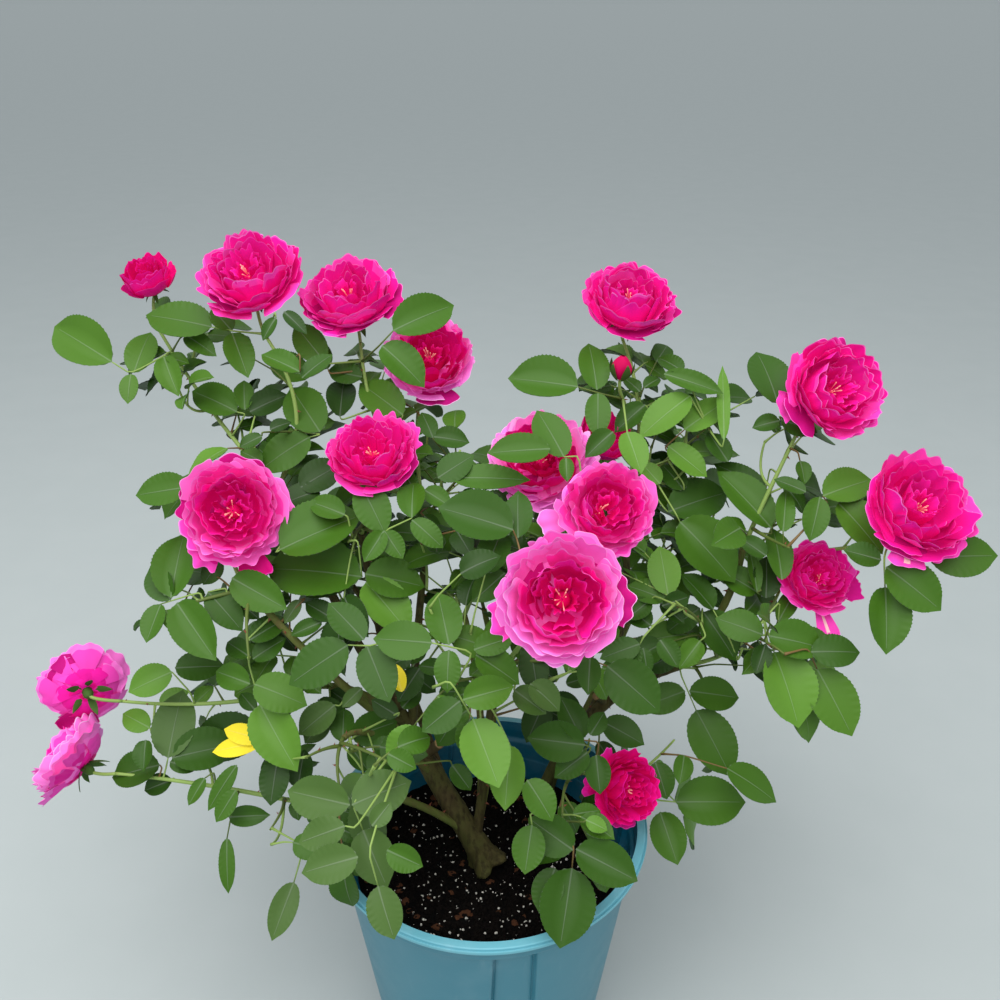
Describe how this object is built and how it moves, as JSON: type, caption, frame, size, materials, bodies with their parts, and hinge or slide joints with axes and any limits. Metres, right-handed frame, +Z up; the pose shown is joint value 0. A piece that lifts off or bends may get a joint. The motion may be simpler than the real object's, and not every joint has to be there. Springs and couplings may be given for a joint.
{
  "type": "potted rose bush",
  "caption": "Open, leafy rose bush in bloom, with arching canes and ruffled pink roses, in a round fluted plastic pot filled with potting mix.",
  "frame": {"origin": "centre of the pot's flat underside", "axes": "+Z up; +X to the right and +Y away from someone who looks at the bush's front"},
  "size_m": [0.8175, 0.5611, 0.7859],
  "materials": {
    "pot_plastic": "satin teal-blue moulded plastic",
    "potting_mix": "moist dark potting mix with white perlite",
    "bark": "olive-brown bark",
    "green_stem": "smooth green young cane",
    "leaf": "matte green leaf",
    "petal": "soft hot-pink petal"
  },
  "bodies": {
    "root": {"pot": "pot_plastic", "soil": "potting_mix", "trunk": "bark", "stem_right": "bark", "bough_up_left": "bark", "bough_up_mid": "bark", "bough_up_right": "bark", "bough_left_front": "green_stem", "bough_left_low": "green_stem", "bough_low_left": "green_stem", "bough_front_left": "green_stem", "bough_centre": "bark", "bough_centre_back": "green_stem", "bough_right_up": "bark", "bough_right_far": "green_stem", "bough_right_low": "green_stem", "bough_back_left": "bark", "bough_back_mid": "green_stem", "bough_back_right": "green_stem", "bloom_top_far_left": "petal", "bloom_top_left": "petal", "bloom_top_mid": "petal", "bloom_behind_leaves": "petal", "bloom_mid_left": "petal", "bloom_front_left": "petal", "bloom_top_right": "petal", "bud_top_right": "petal", "bloom_centre_back": "petal", "bloom_small_centre": "petal", "bloom_centre_upper": "petal", "bloom_centre_front": "petal", "bloom_right_upper": "petal", "bloom_far_right": "petal", "bloom_right_mid": "petal", "bloom_low_right": "petal", "bloom_low_left": "petal", "bloom_lowest_left": "petal", "leaves_top_left": "leaf", "leaves_top_mid": "leaf", "leaves_mid_left": "leaf", "leaves_front_left": "leaf", "leaves_left": "leaf", "leaves_low_left": "leaf", "leaves_low_front_left": "leaf", "leaves_centre_front": "leaf", "leaves_centre_back": "leaf", "leaves_top_right": "leaf", "leaves_far_right": "leaf", "leaves_mid_right": "leaf", "leaves_low_right": "leaf", "leaves_back_left": "leaf", "leaves_back_mid": "leaf", "leaves_back_right": "leaf"}
  },
  "joints": []
}
